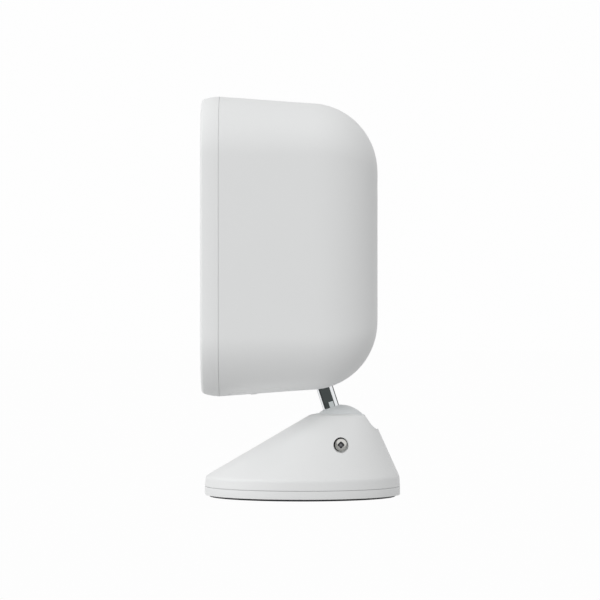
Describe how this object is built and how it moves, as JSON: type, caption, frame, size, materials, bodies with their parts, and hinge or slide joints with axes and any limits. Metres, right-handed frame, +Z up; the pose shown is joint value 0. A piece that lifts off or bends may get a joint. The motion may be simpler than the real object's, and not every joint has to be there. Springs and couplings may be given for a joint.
{
  "type": "video doorbell",
  "caption": "Upright camera head with rounded back and flat front, on a chrome stalk whose clamped ball sits in a low wedge base.",
  "frame": {"origin": "middle of the base's round underside, on the surface it stands on", "axes": "+Z up, the camera's front faces -Y, the clamp screw faces +X"},
  "size_m": [0.082, 0.0831, 0.1671],
  "materials": {
    "white_plastic": "satin moulded",
    "stand_plastic": "satin moulded",
    "black_window": "polished",
    "black_plastic": "matte moulded",
    "lens_glass": "coated",
    "rubber": "matte",
    "circuit_board": "solder mask",
    "led_resin": "clear resin",
    "sensor_lens": "milky",
    "light_guide": "frosted",
    "steel": "satin",
    "brass": "satin",
    "chassis_plastic": "matte moulded",
    "battery_wrap": "satin",
    "chrome": "polished"
  },
  "bodies": {
    "plate": {"base_plate": "stand_plastic", "foot_pad": "rubber"},
    "cover": {"base_cover": "stand_plastic", "cup_spring": "steel", "cup_retainer": "chassis_plastic", "retainer_screws": "steel", "clamp_nut": "steel"},
    "cup": {"ball_cup": "chassis_plastic"},
    "stalk_and_ball": {"ball": "stand_plastic", "stalk": "chrome", "swivel_washer": "steel", "stalk_clip": "steel"},
    "head": {"front_bezel": "white_plastic", "rear_shell": "white_plastic", "housing_gasket": "rubber", "camera_window": "black_window", "lens_barrel": "black_plastic", "lens_element": "lens_glass", "lens_shroud": "rubber", "camera_board": "circuit_board", "infrared_board": "circuit_board", "infrared_leds": "led_resin", "pir_lens": "sensor_lens", "pir_sensor": "steel", "main_board": "circuit_board", "shield_can": "steel", "antenna": "brass", "microphone": "steel", "microphone_boot": "rubber", "loudspeaker": "black_plastic", "loudspeaker_gasket": "rubber", "light_ring": "light_guide", "button_board": "circuit_board", "button_switch": "black_plastic", "chassis": "chassis_plastic", "chassis_screws": "steel", "battery_contacts": "brass", "stalk_bush": "brass"},
    "bell_push": {"button_cap": "white_plastic"},
    "battery": {"battery_pack": "battery_wrap", "battery_cap": "white_plastic", "battery_cap_gasket": "rubber"},
    "tab": {"release_tab": "white_plastic"},
    "screw": {"clamp_screw": "chrome"},
    "shoe": {"brake_shoe": "chassis_plastic"}
  },
  "joints": [
    {"name": "cover_twist", "type": "hinge", "parent": "plate", "child": "cover", "pos_m": [0, 0, 0], "axis": [0, 0, 1], "range_deg": [0, 32]},
    {"name": "ball_pan", "type": "hinge", "parent": "cover", "child": "cup", "pos_m": [0, 0.0159, 0.0254], "axis": [0, 0, 1], "range_deg": [-15, 15]},
    {"name": "ball_tilt", "type": "hinge", "parent": "cup", "child": "stalk_and_ball", "pos_m": [0, 0.0159, 0.0254], "axis": [1, 0, 0], "range_deg": [-84, 9]},
    {"name": "head_swivel", "type": "hinge", "parent": "stalk_and_ball", "child": "head", "pos_m": [0, 0.0159, 0.0254], "axis": [0, -0.309, 0.9511], "continuous": true},
    {"name": "bell_press", "type": "slide", "parent": "head", "child": "bell_push", "axis": [0, 1, 0], "range_m": [0, 0.0005], "stiffness_N_per_m": 2400, "springref_m": -0.0002},
    {"name": "battery_slide", "type": "slide", "parent": "head", "child": "battery", "axis": [0, 0, -1], "range_m": [0, 0.01]},
    {"name": "tab_press", "type": "slide", "parent": "battery", "child": "tab", "axis": [0, 0, 1], "range_m": [0, 0.0008], "stiffness_N_per_m": 900, "springref_m": -0.0003},
    {"name": "clamp_turn", "type": "hinge", "parent": "cover", "child": "screw", "pos_m": [0.0213, 0.0159, 0.0224], "axis": [1, 0, 0], "range_deg": [0, 360]},
    {"name": "brake_slide", "type": "slide", "parent": "cover", "child": "shoe", "axis": [1, 0, 0], "range_m": [0, 0.00045]}
  ],
  "couplings": [
    {"joint": "clamp_turn", "follows": "brake_slide", "rad_per_m": 13963}
  ]
}
